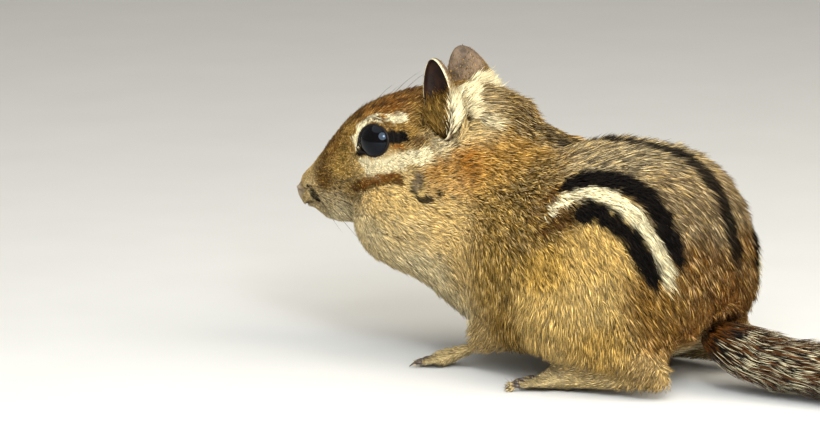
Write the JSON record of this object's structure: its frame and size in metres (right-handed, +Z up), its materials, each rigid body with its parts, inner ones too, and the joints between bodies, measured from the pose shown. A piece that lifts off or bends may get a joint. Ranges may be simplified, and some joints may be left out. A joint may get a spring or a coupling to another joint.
{
  "type": "chipmunk",
  "caption": "Crouching striped chipmunk with filled cheek pouches, head turned to its left, bushy tail laid back along the floor.",
  "frame": {"origin": "on the floor, under the middle of the whole animal's bounding box", "axes": "+Y towards the tail, so the animal faces -Y; +X towards the animal's left; +Z up; the floor is Z = 0"},
  "size_m": [0.0524, 0.1892, 0.0598],
  "materials": {
    "crown": "short reddish-brown fur",
    "back": "ticked grey-brown fur",
    "flank": "tawny fur",
    "ear": "thin skin with very short hair",
    "eye": "wet glossy black",
    "foot": "very short tan fur",
    "tail": "long bristly brown fur"
  },
  "bodies": {
    "root": {"head": "crown", "neck": "back", "torso": "back", "ear_left": "ear", "ear_right": "ear", "eye_left": "eye", "eye_right": "eye", "foreleg_left": "flank", "foreleg_right": "flank", "forepaw_left": "foot", "forepaw_right": "foot", "thigh_left": "flank", "thigh_right": "flank", "hind_foot_left": "foot", "hind_foot_right": "foot", "tail_base": "tail", "tail_middle": "tail", "tail_tip": "tail"}
  },
  "joints": []
}
